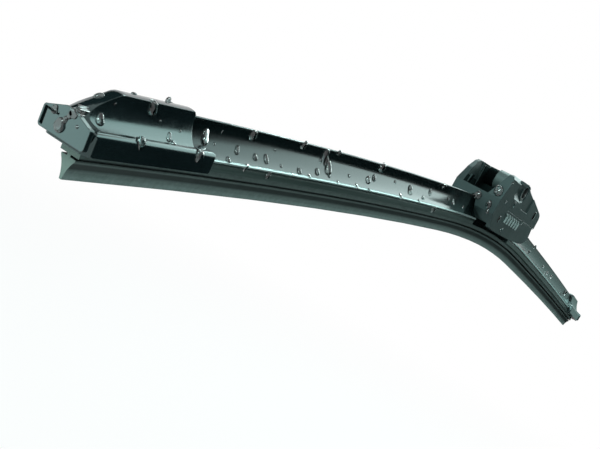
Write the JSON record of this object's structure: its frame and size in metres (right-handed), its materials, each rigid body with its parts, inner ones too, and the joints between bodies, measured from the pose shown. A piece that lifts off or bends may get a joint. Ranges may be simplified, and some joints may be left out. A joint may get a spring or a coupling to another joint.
{
  "type": "wiper blade",
  "caption": "Flat car wiper blade: curved twin-rail rubber strip with a two-piece spoiler, end caps and a connector with a tilting adapter for the wiper arm.",
  "frame": {"origin": "middle of the bore of the pivot tube, where the wiper arm's pin or hook turns", "axes": "+X along the blade towards its right end, +Y along the pivot towards the far side, +Z away from the glass"},
  "size_m": [0.5568, 0.0232, 0.0625],
  "materials": {
    "wiper_rubber": "satin black rubber",
    "spring_steel": "dark spring steel",
    "spoiler_plastic": "satin dark grey",
    "cap_plastic": "fine-grained dark grey",
    "connector_plastic": "fine-grained dark grey",
    "pivot_steel": "dull steel",
    "adapter_plastic": "smooth dark grey"
  },
  "bodies": {
    "blade": {"wiper_rubber": "wiper_rubber", "spring_rail_near": "spring_steel", "spring_rail_far": "spring_steel", "spoiler_left": "spoiler_plastic", "spoiler_right": "spoiler_plastic", "end_cap_left": "cap_plastic", "end_cap_right": "cap_plastic", "connector_base": "connector_plastic", "rail_saddle": "spring_steel", "side_cover_near": "connector_plastic", "side_cover_far": "connector_plastic", "pivot_tube": "pivot_steel"},
    "adapter": {"hook_adapter": "adapter_plastic"}
  },
  "joints": [
    {"name": "adapter_tilt", "type": "hinge", "parent": "blade", "child": "adapter", "pos_m": [0, 0, 0], "axis": [0, 1, 0], "range_deg": [-10, 14]}
  ]
}
